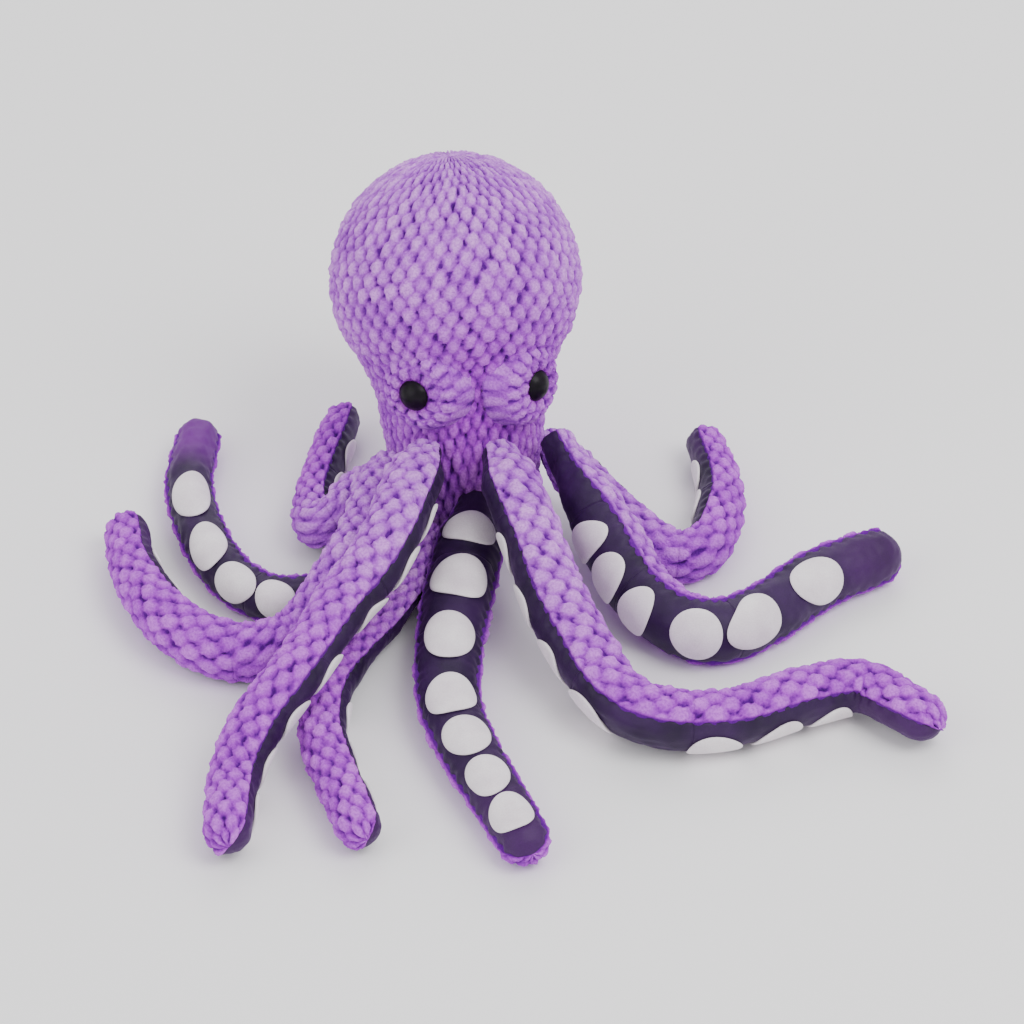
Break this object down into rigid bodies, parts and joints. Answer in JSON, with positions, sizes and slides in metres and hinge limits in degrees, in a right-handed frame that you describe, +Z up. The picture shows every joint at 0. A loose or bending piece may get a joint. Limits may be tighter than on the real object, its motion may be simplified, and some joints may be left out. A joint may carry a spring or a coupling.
{
  "type": "stuffed octopus toy",
  "caption": "Soft knitted octopus toy with a round head, button eyes and long bendable arms that have smooth undersides with sucker patches.",
  "frame": {"origin": "on the base panel's lower face, under the neck", "axes": "+Z up, the face looks along -Y, +X to the viewer's right"},
  "size_m": [0.4136, 0.3902, 0.1816],
  "materials": {
    "lilac_knit": "thick chenille knit, soft pile, puffy stitches",
    "satin": "smooth dark purple fabric with a faint sheen",
    "sucker_felt": "off-white felt patches",
    "stuffing": "polyester fibre filling",
    "eye_gloss": "glossy black safety eye",
    "washer_plastic": "moulded lock washer"
  },
  "bodies": {
    "head": {"head_cover": "lilac_knit", "head_stuffing": "stuffing", "base_panel": "satin", "left_eye_ring": "lilac_knit", "right_eye_ring": "lilac_knit", "left_eye": "eye_gloss", "right_eye": "eye_gloss", "eye_washers": "washer_plastic", "rear_left_inner_cover": "lilac_knit", "rear_left_inner_underside": "satin", "outer_left_inner_cover": "lilac_knit", "outer_left_inner_underside": "satin", "back_left_inner_cover": "lilac_knit", "back_left_inner_underside": "satin", "under_left_inner_cover": "lilac_knit", "under_left_inner_underside": "satin", "back_right_inner_cover": "lilac_knit", "back_right_inner_underside": "satin"},
    "rear_left_outer": {"rear_left_outer_cover": "lilac_knit", "rear_left_outer_underside": "satin", "rear_left_outer_suckers": "sucker_felt"},
    "outer_left_outer": {"outer_left_outer_cover": "lilac_knit", "outer_left_outer_underside": "satin", "outer_left_outer_suckers": "sucker_felt"},
    "back_left_outer": {"back_left_outer_cover": "lilac_knit", "back_left_outer_underside": "satin", "back_left_outer_suckers": "sucker_felt"},
    "front_left_inner": {"front_left_inner_cover": "lilac_knit", "front_left_inner_underside": "satin", "front_left_inner_suckers": "sucker_felt"},
    "front_left_outer": {"front_left_outer_cover": "lilac_knit", "front_left_outer_underside": "satin", "front_left_outer_suckers": "sucker_felt"},
    "under_left_outer": {"under_left_outer_cover": "lilac_knit", "under_left_outer_underside": "satin", "under_left_outer_suckers": "sucker_felt"},
    "front_middle_inner": {"front_middle_inner_cover": "lilac_knit", "front_middle_inner_underside": "satin", "front_middle_inner_suckers": "sucker_felt"},
    "front_middle_outer": {"front_middle_outer_cover": "lilac_knit", "front_middle_outer_underside": "satin", "front_middle_outer_suckers": "sucker_felt"},
    "front_right_inner": {"front_right_inner_cover": "lilac_knit", "front_right_inner_underside": "satin", "front_right_inner_suckers": "sucker_felt"},
    "front_right_outer": {"front_right_outer_cover": "lilac_knit", "front_right_outer_underside": "satin", "front_right_outer_suckers": "sucker_felt"},
    "outer_right_inner": {"outer_right_inner_cover": "lilac_knit", "outer_right_inner_underside": "satin", "outer_right_inner_suckers": "sucker_felt"},
    "outer_right_outer": {"outer_right_outer_cover": "lilac_knit", "outer_right_outer_underside": "satin", "outer_right_outer_suckers": "sucker_felt"},
    "back_right_outer": {"back_right_outer_cover": "lilac_knit", "back_right_outer_underside": "satin", "back_right_outer_suckers": "sucker_felt"}
  },
  "joints": [
    {"name": "rear_left_bend", "type": "hinge", "parent": "head", "child": "rear_left_outer", "pos_m": [-0.0769, -0.1087, 0.0259], "axis": [-0.2896, 0.9571, 0], "range_deg": [0, 35]},
    {"name": "outer_left_bend", "type": "hinge", "parent": "head", "child": "outer_left_outer", "pos_m": [-0.083, -0.147, 0.032], "axis": [-0.5567, 0.8307, 0], "range_deg": [0, 35]},
    {"name": "back_left_bend", "type": "hinge", "parent": "head", "child": "back_left_outer", "pos_m": [-0.0774, -0.0336, 0.0249], "axis": [0.9997, -0.0228, 0], "range_deg": [0, 35]},
    {"name": "front_left_lift", "type": "hinge", "parent": "head", "child": "front_left_inner", "pos_m": [-0.0227, -0.0659, 0.0747], "axis": [-0.9838, 0.1792, 0], "range_deg": [0, 25]},
    {"name": "front_left_bend", "type": "hinge", "parent": "front_left_inner", "child": "front_left_outer", "pos_m": [-0.0618, -0.1648, 0.057], "axis": [-0.9104, 0.4138, 0], "range_deg": [0, 35]},
    {"name": "under_left_bend", "type": "hinge", "parent": "head", "child": "under_left_outer", "pos_m": [-0.0454, -0.166, 0.0133], "axis": [0, 0, 1], "range_deg": [0, 10]},
    {"name": "front_middle_lift", "type": "hinge", "parent": "head", "child": "front_middle_inner", "pos_m": [0.0036, -0.0638, 0.0405], "axis": [-0.9939, 0.1107, 0], "range_deg": [0, 25]},
    {"name": "front_middle_bend", "type": "hinge", "parent": "front_middle_inner", "child": "front_middle_outer", "pos_m": [-0.0073, -0.1784, 0.0325], "axis": [-0.9999, -0.0149, 0], "range_deg": [0, 40]},
    {"name": "front_right_lift", "type": "hinge", "parent": "head", "child": "front_right_inner", "pos_m": [0.0209, -0.0656, 0.0726], "axis": [-0.9721, -0.2347, 0], "range_deg": [0, 25]},
    {"name": "front_right_bend", "type": "hinge", "parent": "front_right_inner", "child": "front_right_outer", "pos_m": [0.0829, -0.2048, 0.0342], "axis": [-0.5513, -0.8343, 0], "range_deg": [0, 40]},
    {"name": "outer_right_lift", "type": "hinge", "parent": "head", "child": "outer_right_inner", "pos_m": [0.0526, -0.0458, 0.0641], "axis": [-0.918, -0.3966, 0], "range_deg": [0, 25]},
    {"name": "outer_right_bend", "type": "hinge", "parent": "outer_right_inner", "child": "outer_right_outer", "pos_m": [0.1051, -0.1344, 0.0343], "axis": [-0.5325, -0.8464, 0], "range_deg": [0, 40]},
    {"name": "back_right_bend", "type": "hinge", "parent": "head", "child": "back_right_outer", "pos_m": [0.1251, -0.0558, 0.0276], "axis": [0.9589, -0.2837, 0], "range_deg": [0, 35]}
  ]
}
